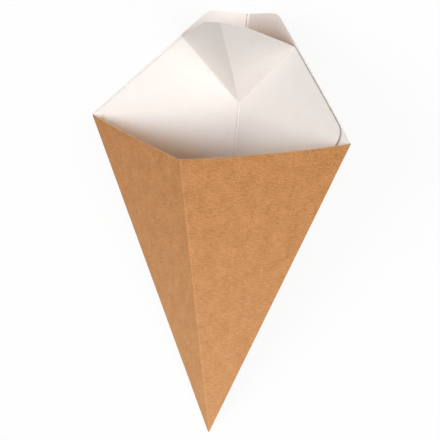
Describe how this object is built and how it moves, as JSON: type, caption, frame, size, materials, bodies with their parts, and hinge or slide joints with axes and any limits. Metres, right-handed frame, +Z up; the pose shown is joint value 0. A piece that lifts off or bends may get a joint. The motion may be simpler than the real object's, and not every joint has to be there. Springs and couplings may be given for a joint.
{
  "type": "paper snack cone",
  "caption": "Folded card snack cone, brown outside and white inside, with a tall slant-shouldered back and a pop-out dip pocket.",
  "frame": {"origin": "centre of the bounding box's bottom, on the floor that the cone lies on", "axes": "+Y from the tip to the mouth along the floor, +Z up out of the left back panel that the cone lies on, +X to the right seen from above"},
  "size_m": [0.1346, 0.255, 0.0667],
  "materials": {
    "kraft_card": "uncoated brown card outside, white clay-coated face inside, matte"
  },
  "bodies": {
    "root": {"snack_cone": "kraft_card"}
  },
  "joints": []
}
